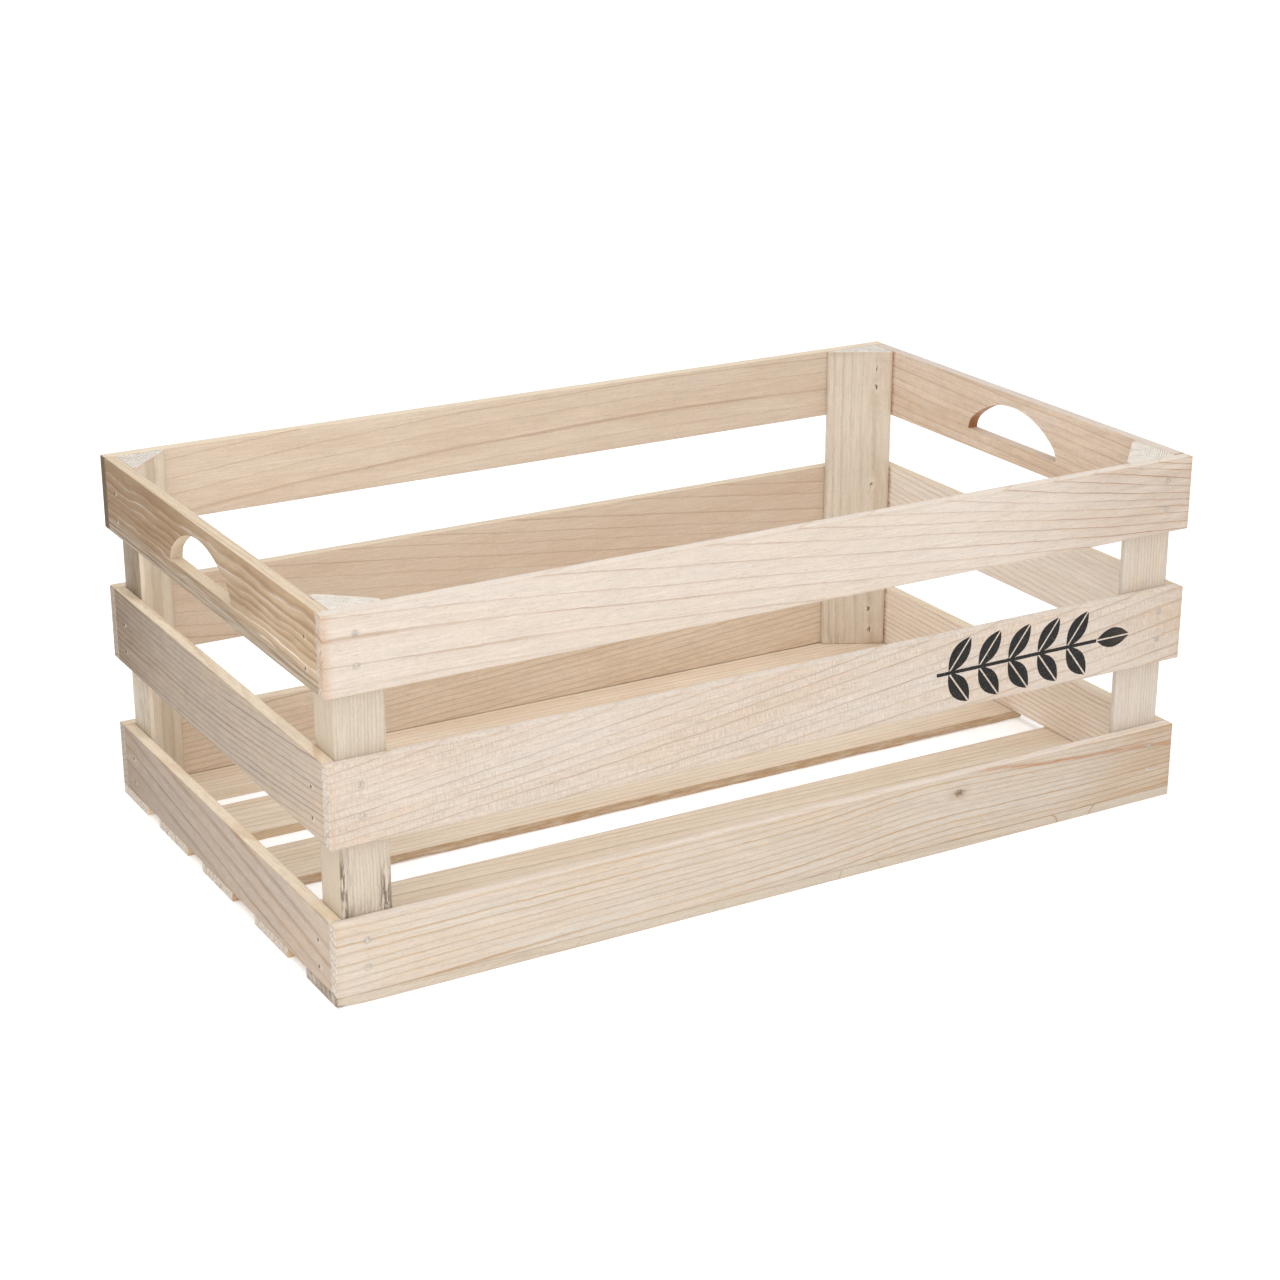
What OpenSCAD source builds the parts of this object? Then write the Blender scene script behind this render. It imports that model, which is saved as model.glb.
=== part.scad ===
// Slatted wooden apple crate: four triangular corner posts, three tiers of
// slats on every side, five floor boards, and the nails that hold them.
// The origin is at the middle of the underside. X runs along the crate, from
// the left end to the right end, Y runs from the front to the back, and Z is up.

/* [Crate] */
// Outside length, along X
crate_length = 600; // [500:5:700]
// Outside width, along Y
crate_width = 350; // [320:5:420]

/* [Slats] */
// Thickness of every side and end slat
slat_t = 8; // [6:0.5:12]
// Height of the bottom slats
bottom_slat_h = 44.5; // [40:0.5:60]
// Open height between the bottom and middle slats
lower_gap_h = 46; // [20:0.5:60]
// Height of the middle slats
middle_slat_h = 49.5; // [40:0.5:60]
// Open height between the middle and top slats
upper_gap_h = 39; // [20:0.5:60]
// Height of the top slats
top_slat_h = 48.5; // [44:0.5:60]

/* [Corner posts] */
// Leg of the front left post against the front slats
front_left_leg_x = 31; // [28:1:45]
// Leg of the front left post against the end slats
front_left_leg_y = 27; // [27:1:45]
// Leg of the front right post against the front slats
front_right_leg_x = 37; // [28:1:45]
// Leg of the front right post against the end slats
front_right_leg_y = 38; // [27:1:45]
// Leg of the back left post against the back slats
back_left_leg_x = 31; // [28:1:45]
// Leg of the back left post against the end slats
back_left_leg_y = 30; // [27:1:45]
// Leg of the back right post against the back slats
back_right_leg_x = 42; // [28:1:45]
// Leg of the back right post against the end slats
back_right_leg_y = 24; // [24:1:45]
// Width of the flat that blunts each sharp edge of a post
post_blunt = 3; // [1:0.5:4]

/* [Hand holes] */
// Span of a hand hole along its flat lower edge
hand_hole_span = 98; // [70:1:110]
// Height of a hand hole at its crown
hand_hole_rise = 26.5; // [20:0.5:28]
// Radius where the arch turns down at each side
hand_hole_side_r = 13; // [6:0.5:16]
// Height of wood left under a hand hole
hand_hole_sill = 13; // [8:0.5:15]
// How far the left hand hole sits towards the back
left_hole_shift = 5.5; // [-10:0.5:10]
// How far the right hand hole sits towards the back
right_hole_shift = 0.5; // [-10:0.5:10]

/* [Floor] */
// Thickness of the floor boards
floor_t = 6.5; // [5:0.5:10]
// Width of the two outer floor boards
outer_board_w = 45; // [40:1:50]
// Width of the three inner floor boards
inner_board_w = 51; // [40:1:55]
// Gap behind the front floor board
front_gap = 27; // [10:1:30]
// Gap in front of the centre floor board
front_inner_gap = 34; // [10:1:35]
// Gap behind the centre floor board
back_inner_gap = 25; // [5:1:30]

/* [Nails] */
// Length of a nail, head included
nail_length = 23; // [16:0.5:23]
// Diameter of a nail's shank
nail_shank_d = 1.6; // [1.2:0.1:2]
// Diameter of a nail's head
nail_head_d = 3.4; // [2.4:0.1:4]
// Thickness of a nail's head
nail_head_t = 0.8; // [0.4:0.1:1.2]
// Distance of the front and back nails from the crate's ends
side_nail_inset = 19.5; // [17:0.5:24]
// Distance of the end nails from the crate's front and back
end_nail_inset = 24.5; // [20:0.5:25]

/* [Hidden] */
$fn = 48;

FRONT = -1;
BACK = 1;
LEFT = -1;
RIGHT = 1;

// Tiers of slats: where each starts and how high it is
tier_h = [bottom_slat_h, middle_slat_h, top_slat_h];
tier_z = [
    floor_t,
    floor_t + bottom_slat_h + lower_gap_h,
    floor_t + bottom_slat_h + lower_gap_h + middle_slat_h + upper_gap_h
];
BOTTOM = 0;
MIDDLE = 1;
TOP = 2;
TIERS = [BOTTOM, MIDDLE, TOP];
crate_height = tier_z[TOP] + tier_h[TOP];

// Inside faces of the slats
inner_x = crate_length / 2 - slat_t;
inner_y = crate_width / 2 - slat_t;

// Front edge of each floor board, and its width, from front to back
board_w = [outer_board_w, inner_board_w, inner_board_w, inner_board_w, outer_board_w];
front_inner_y = outer_board_w + front_gap;
centre_y = front_inner_y + inner_board_w + front_inner_gap;
back_inner_y = centre_y + inner_board_w + back_inner_gap;
board_y = [0, front_inner_y, centre_y, back_inner_y, crate_width - outer_board_w];

// Heights of the two nails in a slat's end, as parts of the slat's height.
// The end nails pass above and below the side nails inside the posts.
side_nail_levels = [0.34, 0.72];
end_nail_levels = [0.22, 0.60];
// Places of the two nails across a floor board's end, as parts of its width
board_nail_places = [0.25, 0.75];
nail_point_l = 2 * nail_shank_d;
nail_tip_d = 0.2;

// Arch of the hand holes: a crown arc that runs into two smaller side arcs
side_arc_y = hand_hole_span / 2 - hand_hole_side_r;
crown_r = (side_arc_y ^ 2 + hand_hole_rise ^ 2 - hand_hole_side_r ^ 2)
    / (2 * (hand_hole_rise - hand_hole_side_r));
crown_z = hand_hole_rise - crown_r;
// Half the width under the crown arc, where it meets the side arcs
crown_half = side_arc_y * crown_r / (crown_r - hand_hole_side_r);
// How far a cutting shape runs past the faces that it cuts
cut = 1;

SLAT_WOOD = "#e6d6c3";
POST_WOOD = "#dcc9b0";
FLOOR_WOOD = "#dfcbb1";
END_WOOD = "#cdb8a0";
NAIL_STEEL = "#9a9a9c";

// A nail with its head's flat face at z = 0 and its point up
module nail() {
    cylinder(d = nail_head_d, h = nail_head_t);
    cylinder(d = nail_shank_d, h = nail_length - nail_point_l);
    translate([0, 0, nail_length - nail_point_l])
        cylinder(d1 = nail_shank_d, d2 = nail_tip_d, h = nail_point_l);
}

// The nails of one long side, which run in from its outer face
module side_nails(side, tiers = TIERS) {
    for (end = [LEFT, RIGHT], tier = tiers, level = side_nail_levels)
        translate([
            end * (crate_length / 2 - side_nail_inset),
            side * crate_width / 2,
            tier_z[tier] + level * tier_h[tier]
        ])
            rotate([side * 90, 0, 0])
                nail();
}

// The nails of one end, which run in from its outer face
module end_nails(end, tiers = TIERS) {
    for (side = [FRONT, BACK], tier = tiers, level = end_nail_levels)
        translate([
            end * crate_length / 2,
            side * (crate_width / 2 - end_nail_inset),
            tier_z[tier] + level * tier_h[tier]
        ])
            rotate([0, -end * 90, 0])
                nail();
}

// The nails that run up through the floor boards into the end slats
module floor_nails(ends = [LEFT, RIGHT], boards = [0 : len(board_w) - 1]) {
    for (end = ends, board = boards, place = board_nail_places)
        translate([
            end * (crate_length - slat_t) / 2,
            -crate_width / 2 + board_y[board] + place * board_w[board],
            0
        ])
            nail();
}

// A corner post: a right-angled triangle with blunted sharp edges, drilled
// by the nails of the two walls that it joins
module post(end, side, leg_x, leg_y) {
    color(POST_WOOD)
        difference() {
            translate([end * inner_x, side * inner_y, floor_t])
                linear_extrude(height = crate_height - floor_t)
                    polygon([
                        [0, 0],
                        [-end * leg_x, 0],
                        [-end * leg_x, -side * post_blunt],
                        [-end * post_blunt, -side * leg_y],
                        [0, -side * leg_y]
                    ]);
            side_nails(side);
            end_nails(end);
        }
}

// A slat of a long side, which covers the ends of the end slats
module side_slat(side, tier) {
    color(SLAT_WOOD)
        difference() {
            translate([
                -crate_length / 2,
                side == FRONT ? -crate_width / 2 : inner_y,
                tier_z[tier]
            ])
                cube([crate_length, slat_t, tier_h[tier]]);
            side_nails(side, [tier]);
        }
}

// A slat of an end, which fits between the two long sides
module end_slat(end, tier) {
    translate([end == LEFT ? -crate_length / 2 : inner_x, -inner_y, tier_z[tier]])
        cube([slat_t, 2 * inner_y, tier_h[tier]]);
}

// The outline of a hand hole, with its flat lower edge on y = 0
module hand_hole_outline() {
    intersection() {
        translate([0, crown_z])
            circle(r = crown_r, $fn = 180);
        translate([-crown_half, 0])
            square([2 * crown_half, hand_hole_rise + cut]);
    }
    for (turn = [-1, 1])
        intersection() {
            translate([turn * side_arc_y, 0])
                circle(r = hand_hole_side_r);
            translate([-hand_hole_span / 2, 0])
                square([hand_hole_span, hand_hole_rise + cut]);
        }
}

// The cutter for the hand hole of one end
module hand_hole(end, shift) {
    translate([end * (crate_length - slat_t) / 2, shift, tier_z[TOP] + hand_hole_sill])
        rotate([90, 0, 90])
            linear_extrude(height = slat_t + 2 * cut, center = true)
                hand_hole_outline();
}

// A bottom slat of an end, drilled for its own nails and the floor's
module bottom_end_slat(end) {
    color(END_WOOD)
        difference() {
            end_slat(end, BOTTOM);
            end_nails(end, [BOTTOM]);
            floor_nails([end]);
        }
}

module middle_end_slat(end) {
    color(END_WOOD)
        difference() {
            end_slat(end, MIDDLE);
            end_nails(end, [MIDDLE]);
        }
}

// A top slat of an end, with its hand hole
module top_end_slat(end, hole_shift) {
    color(END_WOOD)
        difference() {
            end_slat(end, TOP);
            end_nails(end, [TOP]);
            hand_hole(end, hole_shift);
        }
}

module floor_board(board) {
    color(FLOOR_WOOD)
        difference() {
            translate([-crate_length / 2, -crate_width / 2 + board_y[board], 0])
                cube([crate_length, board_w[board], floor_t]);
            floor_nails(boards = [board]);
        }
}

post(LEFT, FRONT, front_left_leg_x, front_left_leg_y);  // post_front_left
post(RIGHT, FRONT, front_right_leg_x, front_right_leg_y);  // post_front_right
post(LEFT, BACK, back_left_leg_x, back_left_leg_y);  // post_back_left
post(RIGHT, BACK, back_right_leg_x, back_right_leg_y);  // post_back_right
side_slat(FRONT, BOTTOM);  // front_slat_bottom
side_slat(FRONT, MIDDLE);  // front_slat_middle
side_slat(FRONT, TOP);  // front_slat_top
side_slat(BACK, BOTTOM);  // back_slat_bottom
side_slat(BACK, MIDDLE);  // back_slat_middle
side_slat(BACK, TOP);  // back_slat_top
bottom_end_slat(LEFT);  // left_slat_bottom
middle_end_slat(LEFT);  // left_slat_middle
top_end_slat(LEFT, left_hole_shift);  // left_slat_top
bottom_end_slat(RIGHT);  // right_slat_bottom
middle_end_slat(RIGHT);  // right_slat_middle
top_end_slat(RIGHT, right_hole_shift);  // right_slat_top
floor_board(0);  // floor_board_front
floor_board(1);  // floor_board_front_inner
floor_board(2);  // floor_board_centre
floor_board(3);  // floor_board_back_inner
floor_board(4);  // floor_board_back
color(NAIL_STEEL) side_nails(FRONT);  // nails_front
color(NAIL_STEEL) side_nails(BACK);  // nails_back
color(NAIL_STEEL) end_nails(LEFT);  // nails_left
color(NAIL_STEEL) end_nails(RIGHT);  // nails_right
color(NAIL_STEEL) floor_nails();  // nails_floor
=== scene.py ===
import math
from dataclasses import dataclass

import bmesh
import bpy
from mathutils import Matrix, Vector, noise


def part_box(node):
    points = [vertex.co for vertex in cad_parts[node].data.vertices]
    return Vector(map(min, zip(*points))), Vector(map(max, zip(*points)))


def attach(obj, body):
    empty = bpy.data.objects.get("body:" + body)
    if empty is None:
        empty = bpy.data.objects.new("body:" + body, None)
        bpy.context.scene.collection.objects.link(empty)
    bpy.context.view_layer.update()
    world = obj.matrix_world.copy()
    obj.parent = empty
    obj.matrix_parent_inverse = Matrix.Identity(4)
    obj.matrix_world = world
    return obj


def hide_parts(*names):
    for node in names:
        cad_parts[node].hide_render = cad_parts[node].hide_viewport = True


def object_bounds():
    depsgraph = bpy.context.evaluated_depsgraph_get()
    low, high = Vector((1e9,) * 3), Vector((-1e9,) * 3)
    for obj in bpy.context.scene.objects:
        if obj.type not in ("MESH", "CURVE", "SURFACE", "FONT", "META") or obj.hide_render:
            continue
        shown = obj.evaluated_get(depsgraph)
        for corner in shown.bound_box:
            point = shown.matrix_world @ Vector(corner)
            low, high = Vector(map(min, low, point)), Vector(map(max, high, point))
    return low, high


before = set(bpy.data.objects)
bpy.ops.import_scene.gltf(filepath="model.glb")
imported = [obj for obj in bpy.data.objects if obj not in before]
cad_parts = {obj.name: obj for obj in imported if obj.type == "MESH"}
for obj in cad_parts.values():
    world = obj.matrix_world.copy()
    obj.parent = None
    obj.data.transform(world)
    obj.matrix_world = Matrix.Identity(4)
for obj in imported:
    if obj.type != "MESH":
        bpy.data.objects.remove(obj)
cad_low, cad_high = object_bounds()

# The looks of a slatted wooden crate. Every board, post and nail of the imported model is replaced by
# a mesh with eased edges, rough ends and sunk nails, in wood whose growth rings run through the
# solid. Lengths are in millimetres up to the moment a point goes into a mesh, and the axes are the
# crate's: X along it, Y from the front to the back, Z up.

MM = 0.001
BODY = "root"

# Which way each side lies from the middle along Y, and each end along X
SIDES = {"front": -1, "back": 1}
ENDS = {"left": -1, "right": 1}
TIERS = ("bottom", "middle", "top")
FLOOR_BOARDS = ("front", "front_inner", "centre", "back_inner", "back")

# How far a visual board stays inside its CAD solid, which leaves a fine seam at every joint
INSET = 0.07
# Distance between two cross-sections along a board
STATION = 5.0
# Distance from a board's end to where its eased end starts, and how much smaller all round it ends
END_EASE = 0.4
END_TAPER = 0.8 * END_EASE
# Points between the two ends of a rounded corner
CORNER_STEPS = 3
# Radius of an arris that is pressed against another board
TIGHT_ARRIS = 0.12
# Rings of faces that close an end, and how rough the saw left it
CAP_RINGS = (0.82, 0.58, 0.3)
CAP_ROUGHNESS = 0.14
# An edge sharper than this stays sharp in the shading
SHARP_ANGLE = math.radians(38)
# Points nearer than this are one point
SAME = 0.01
# A board's seed times these starts the noise of its shape and of its wood
SHAPE_SEED = 11
WOOD_SEED = 7.31

# Long edges: their mean radius, how much it swells and shrinks, how deep and rare chips are, and
# the largest radius as a share of half the board's thickness
ARRIS_RADIUS = 0.55
ARRIS_SWAY = 0.25
CHIP_DEPTH = 2.2
CHIP_RARITY = 0.45
ROUNDEST = 1.7
# How far a face is out of flat, a long edge is planed down, and then out of straight
FACE_SAG = 0.1
EDGE_PLANED = 0.05
EDGE_SAG = 0.1
# How far the wear of a knocked corner reaches along the board
KNOCK_REACH = 12.0

# Posts: the flat left on their two sharp edges, how deep the bark went on the square one, their
# arrises, and how deep the saw's lines and torn fibres are on their ends
POST_BLUNT = 3.0
POST_WANE = 1.2
POST_ARRIS = 0.5
POST_ARRIS_SWAY = 0.35
POST_SAW_DEPTH = 0.3
POST_TORN_DEPTH = 0.25

# The end slats stop a little short of the side slats, which leaves a dark joint
END_SLAT_GAP = 0.45

# Nails: how far the head is driven below the wood, and how far it may lean, hammered askew
NAIL_SUNK = 0.3
NAIL_SEGMENTS = 20
HEAD_THICK = 0.8
HEAD_DENTS = 0.06
HEAD_LEAN = math.radians(4)
# In the ends the wood has closed over the heads again and left pin holes
PIN_NAILS = ("nails_left", "nails_right")
PIN_SUNK = 1.4
PIN_RADIUS = 0.85
# The crater round a head, and how it narrows from above the wood to its bottom
CRATER_WIDER = 0.2
CRATER_DEEPER = 0.15
CRATER_SHARES = (1.25, 1.12, 0.9)
CRATER_UNEVEN = 0.1
# How far a cutter stands out of the wood
CUTTER_RISE = 1.0

# Hand holes, as the CAD model cuts them
HOLE_SPAN = 98.0
HOLE_RISE = 26.5
HOLE_SIDE_R = 13.0
HOLE_SILL = 13.0
HOLE_SHIFT = {"left": 5.5, "right": 0.5}
HOLE_STEP = 1.4
HOLE_LAYERS = 8
HOLE_ROUGHNESS = 0.22


# ---- Places, taken from the frame ----


class Piece:
    """The box of a CAD node in the wood's own directions: u along the grain, v across the face,
    w through it. Its sign turns u round, so that a board can be read from the side it is seen."""

    def __init__(self, node, axes, sign=1):
        low, high = (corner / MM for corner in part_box(node))
        self.node = node
        self.axes = axes
        self.sign = sign
        self.centre = (low + high) / 2
        self.half = [(high - low)[axis] / 2 for axis in axes]

    def world(self, u, v, w):
        """The point of the row frame, in metres, at a place in the piece."""
        point = self.centre.copy()
        for axis, value in zip(self.axes, (self.sign * u, v, w)):
            point[axis] += value
        return point * MM

    def local(self, point):
        """The place in the piece of a point of the row frame, in millimetres."""
        offset = point - self.centre
        u, v, w = (offset[axis] for axis in self.axes)
        return self.sign * u, v, w


# Which axes of the row frame u, v and w lie along
ALONG_X = (0, 2, 1)
ALONG_Y = (1, 2, 0)
LYING = (0, 1, 2)
UPRIGHT = (2, 0, 1)


@dataclass
class Nail:
    """One nail, by the middle of its head's flat face, its direction into the wood, its length and
    its head's radius in mm, and whether only a pin hole shows of it."""

    head: Vector
    direction: Vector
    length: float
    radius: float
    pinned: bool

    @property
    def sunk(self):
        """How far the head is below the wood."""
        return PIN_SUNK if self.pinned else NAIL_SUNK

    @property
    def hole_radius(self):
        """The radius of the hole in the wood's face."""
        return PIN_RADIUS if self.pinned else self.radius + CRATER_WIDER


def islands_of(node):
    """The points of each separate solid of a CAD node, in millimetres."""
    mesh = bmesh.new()
    mesh.from_mesh(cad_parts[node].data)
    bmesh.ops.remove_doubles(mesh, verts=mesh.verts, dist=SAME * MM)
    waiting = set(mesh.verts)
    found = []
    while waiting:
        island = {waiting.pop()}
        edge = list(island)
        while edge:
            near = {e.other_vert(v) for v in edge for e in v.link_edges} - island
            island |= near
            edge = list(near)
        waiting -= island
        found.append([v.co / MM for v in island])
    mesh.free()
    return found


def nails_of(node):
    """The nails of a CAD node. A nail lies along its box's longest side, with its head at the end
    whose flat face is the wider one."""
    pinned = node in PIN_NAILS
    nails = []
    for points in islands_of(node):
        low = Vector(map(min, *points))
        high = Vector(map(max, *points))
        size = high - low
        axis = max(range(3), key=lambda i: size[i])
        around = [i for i in range(3) if i != axis]
        middle = (low + high) / 2
        widths = []
        for place in (low[axis], high[axis]):
            flat = [p for p in points if abs(p[axis] - place) < SAME]
            widths.append(max(abs(p[i] - middle[i]) for p in flat for i in around))
        direction = Vector((0, 0, 0))
        direction[axis] = 1 if widths[0] > widths[1] else -1
        head = middle - direction * size[axis] / 2
        radius = max(size[i] for i in around) / 2
        nails.append(Nail(head, direction, size[axis], radius, pinned))
    return sorted(nails, key=lambda nail: tuple(nail.head))


# ---- Meshes ----


def wobble(seed, u, v=0.0, w=0.0):
    """Smooth noise from -1 to 1 at a place, different for each seed. Its bumps are about as long as
    what the place is divided by."""
    return noise.noise(Vector((u + 17.3 * seed, v - 5.1 * seed, w + 2.7 * seed)))


def rounded_section(corners, radii, divisions):
    """The points round a polygon whose corners are rounded, with each side divided evenly."""
    count = len(corners)
    arcs = []
    for i, corner in enumerate(corners):
        here = Vector(corner)
        before = (Vector(corners[i - 1]) - here).normalized()
        after = (Vector(corners[(i + 1) % count]) - here).normalized()
        start = here + before * radii[i]
        end = here + after * radii[i]
        arc = []
        for step in range(CORNER_STEPS + 1):
            t = step / CORNER_STEPS
            arc.append(start * (1 - t) ** 2 + here * 2 * t * (1 - t) + end * t * t)
        arcs.append(arc)
    points = []
    for i, arc in enumerate(arcs):
        end = arcs[(i + 1) % count][0]
        points += arc
        points += [arc[-1].lerp(end, k / divisions[i]) for k in range(1, divisions[i])]
    return points


def stations_along(half):
    """Places of the cross-sections from one end to the other, closer together at the ends."""
    inner = half - END_EASE
    count = math.ceil(2 * inner / STATION)
    middle = [-inner + 2 * inner * i / count for i in range(count + 1)]
    return [-half, *middle, half]


def skin_solid(mesh, rings):
    """Adds the faces of a solid: between rings of equally many points, and one at each end."""
    for near, far in zip(rings, rings[1:]):
        for i in range(len(near)):
            j = (i + 1) % len(near)
            mesh.faces.new((near[i], near[j], far[j], far[i]))
    mesh.faces.new(rings[0])
    mesh.faces.new(rings[-1])


def sweep(piece, section, end_noise, end_gap=INSET):
    """A bmesh skinned over the sections along a piece, with rough ends. section(u, ease) gives the
    points round the piece, and end_noise(v, w, end) how deep the saw went into an end."""
    mesh = bmesh.new()
    half = piece.half[0] - end_gap

    def ring(u, points, end):
        cuts = [end * end_noise(v, w, end) if end else 0.0 for v, w in points]
        return [mesh.verts.new(piece.world(u - cut, v, w)) for cut, (v, w) in zip(cuts, points)]

    rings = []
    for u in stations_along(half):
        end = math.copysign(1, u) if abs(u) == half else 0
        points = section(u, END_TAPER if end else 0.0)
        here = [ring(u, points, end)]
        if end:
            middle = sum(points, Vector((0, 0))) / len(points)
            for share in CAP_RINGS:
                here.append(ring(u, [middle.lerp(point, share) for point in points], end))
        rings += here[::-1] if end < 0 else here
    skin_solid(mesh, rings)
    return mesh


def new_object(name, mesh):
    """A linked object that holds the bmesh, which is freed."""
    data = bpy.data.meshes.new(name)
    mesh.to_mesh(data)
    mesh.free()
    made = bpy.data.objects.new(name, data)
    bpy.context.scene.collection.objects.link(made)
    return made


def new_solid(name, mesh):
    """A linked object that holds the bmesh's solids, turned to face outwards."""
    bmesh.ops.recalc_face_normals(mesh, faces=mesh.faces)
    return new_object(name, mesh)


def cut(target, cutter):
    """Takes the cutter's solids out of the target and deletes the cutter."""
    modifier = target.modifiers.new("cut", "BOOLEAN")
    modifier.operation = "DIFFERENCE"
    modifier.solver = "EXACT"
    modifier.object = cutter
    graph = bpy.context.evaluated_depsgraph_get()
    result = bpy.data.meshes.new_from_object(target.evaluated_get(graph), depsgraph=graph)
    target.modifiers.clear()
    target.data = result
    bpy.data.objects.remove(cutter)


def shade(target):
    """Smooth shading, broken at the sharp edges."""
    mesh = bmesh.new()
    mesh.from_mesh(target.data)
    for face in mesh.faces:
        face.smooth = True
    for edge in mesh.edges:
        edge.smooth = edge.calc_face_angle(0) < SHARP_ANGLE
    mesh.to_mesh(target.data)
    mesh.free()


def put_in_place(target, material, slot, *nodes):
    """Shades a finished piece and lets it stand for its CAD nodes."""
    shade(target)
    target.data.materials.clear()
    target.data.materials.append(material)
    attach(target, BODY)
    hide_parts(*nodes)


def lathe(mesh, start, direction, profile, place):
    """Adds a solid turned about a direction to a bmesh. The profile has a radius for each depth.
    place(x, y, radius, depth) is where the point goes whose cosine and sine are x and y."""
    turn = direction.to_track_quat("Z", "Y").to_matrix()
    angles = [math.tau * i / NAIL_SEGMENTS for i in range(NAIL_SEGMENTS)]
    rings = []
    for radius, depth in profile:
        ring = [place(math.cos(angle), math.sin(angle), radius, depth) for angle in angles]
        rings.append([mesh.verts.new((start + turn @ point) * MM) for point in ring])
    skin_solid(mesh, rings)


def crater_cutter(mesh, nail, seed):
    """Adds the cutter of a nail's crater to a bmesh: an uneven cone that stands out of the wood."""
    depths = (-CUTTER_RISE, 0.0, nail.sunk + CRATER_DEEPER)
    profile = [(nail.hole_radius * share, depth) for share, depth in zip(CRATER_SHARES, depths)]

    def uneven(x, y, radius, depth):
        out = radius * (1 + CRATER_UNEVEN * wobble(seed, 2 * x, 2 * y))
        return Vector((out * x, out * y, depth))

    lathe(mesh, nail.head, nail.direction, profile, uneven)


def cut_craters(target, nails, seed):
    """Cuts the crater of each nail's head out of a board."""
    mesh = bmesh.new()
    for i, nail in enumerate(nails):
        crater_cutter(mesh, nail, seed + i)
    cut(target, new_solid("crater_cutter", mesh))


def arc_points(across, up, radius, start, end):
    """Points on an arc round a place, from one angle to just before another."""
    steps = math.ceil((end - start) * radius / HOLE_STEP)
    angles = [start + (end - start) * i / steps for i in range(steps)]
    return [(across + radius * math.cos(a), up + radius * math.sin(a)) for a in angles]


def hole_outline():
    """The outline of a hand hole as (across, up) from the middle of its flat lower edge."""
    side = HOLE_SPAN / 2 - HOLE_SIDE_R
    crown_r = (side**2 + HOLE_RISE**2 - HOLE_SIDE_R**2) / (2 * (HOLE_RISE - HOLE_SIDE_R))
    crown_up = HOLE_RISE - crown_r
    meet = math.atan2(-crown_up, side)
    half = arc_points(side, 0.0, HOLE_SIDE_R, 0.0, meet)
    half += arc_points(0.0, crown_up, crown_r, meet, math.pi / 2)
    mirrored = [(-across, up) for across, up in reversed(half)]
    steps = math.ceil(HOLE_SPAN / HOLE_STEP / 2)
    sill = [(HOLE_SPAN * (i / steps - 0.5), 0.0) for i in range(1, steps)]
    return [*half, (0.0, HOLE_RISE), *mirrored, *sill]


def cut_hand_hole(target, piece, shift, seed):
    """Cuts the hand hole out of a top end slat, with the saw's marks on its inside."""
    mesh = bmesh.new()
    outline = hole_outline()
    base = -piece.half[1] + HOLE_SILL
    depth = piece.half[2] + CUTTER_RISE
    rings = []
    for layer in range(HOLE_LAYERS + 1):
        w = depth * (2 * layer / HOLE_LAYERS - 1)
        ring = []
        for i, (across, up) in enumerate(outline):
            rough = HOLE_ROUGHNESS * wobble(seed, i * 0.9, w * 0.35)
            outwards = Vector((across, up - HOLE_RISE / 3)).normalized() * rough
            u = piece.sign * shift + across + outwards.x
            ring.append(mesh.verts.new(piece.world(u, base + up + outwards.y, w)))
        rings.append(ring)
    skin_solid(mesh, rings)
    cut(target, new_solid("hole_cutter", mesh))


def board_mesh(piece, look, end_gap):
    """A sawn board: eased arrises with small chips, faces a little out of flat, and rough ends."""
    half_v = piece.half[1] - INSET
    half_w = piece.half[2] - INSET
    seed = look.seed * SHAPE_SEED

    def arris(u, corner):
        """How far the corner is rounded here."""
        if corner in look.tight:
            return TIGHT_ARRIS
        slow = ARRIS_SWAY * wobble(seed + corner, u / 45)
        chip = max(0.0, wobble(seed + 9 + corner, u / 7) - CHIP_RARITY) * CHIP_DEPTH
        radius = ARRIS_RADIUS + slow + chip
        if corner == 0:
            knocked = math.exp(-(((u + piece.half[0]) / KNOCK_REACH) ** 2)) * look.knocked
            waney = 0.6 + wobble(seed + 14, u / 28) + 0.5 * wobble(seed + 15, u / 6)
            radius += knocked + look.wane * max(0.0, waney)
        return min(radius, ROUNDEST * half_w)

    def section(u, ease):
        bend = abs(FACE_SAG * wobble(seed + 20, u / 120))
        v = half_v - ease - EDGE_PLANED - EDGE_SAG * (1 + wobble(seed + 21, u / 60)) / 2
        w = half_w - ease
        corners = [(-v, -w), (v, -w), (v, w), (-v, w)]
        radii = [arris(u, corner) for corner in range(4)]
        points = rounded_section(corners, radii, divisions=(8, 2, 8, 2))
        sag = [bend * (1 + wobble(seed + 22, u / 35, p.x / 14)) / 2 for p in points]
        return [Vector((p.x, p.y - math.copysign(s, p.y))) for p, s in zip(points, sag)]

    def end_noise(v, w, end):
        return CAP_ROUGHNESS * (1 + wobble(seed + 30 + end, v / 2.2, w / 2.2)) / 2

    return sweep(piece, section, end_noise, end_gap)


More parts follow.
